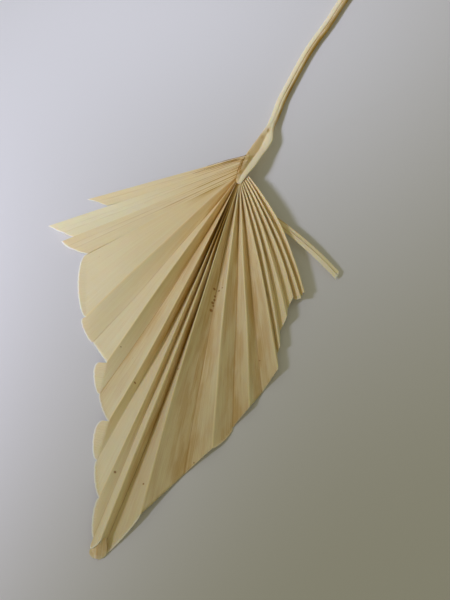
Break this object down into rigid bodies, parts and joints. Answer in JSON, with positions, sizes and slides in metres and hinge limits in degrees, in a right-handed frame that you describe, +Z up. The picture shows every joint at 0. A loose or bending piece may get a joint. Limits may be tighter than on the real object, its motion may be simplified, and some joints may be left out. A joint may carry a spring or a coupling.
{
  "type": "dried palm spear",
  "caption": "Dried fan palm leaf trimmed to a pleated spear shape, with narrow side strips and a long slim stalk, lying flat on a surface.",
  "frame": {"origin": "middle of the leaf's box, on the surface that the leaf lies on", "axes": "+Y from the spear's tip towards the stalk's cut end, +Z up from the surface, +X to the right of +Y seen from above"},
  "size_m": [0.1508, 0.4801, 0.0112],
  "materials": {
    "dried_leaf": "matt, bleached and dried leaf, cream to straw, with fine lengthwise fibres"
  },
  "bodies": {
    "root": {"palm_leaf": "dried_leaf"}
  },
  "joints": []
}
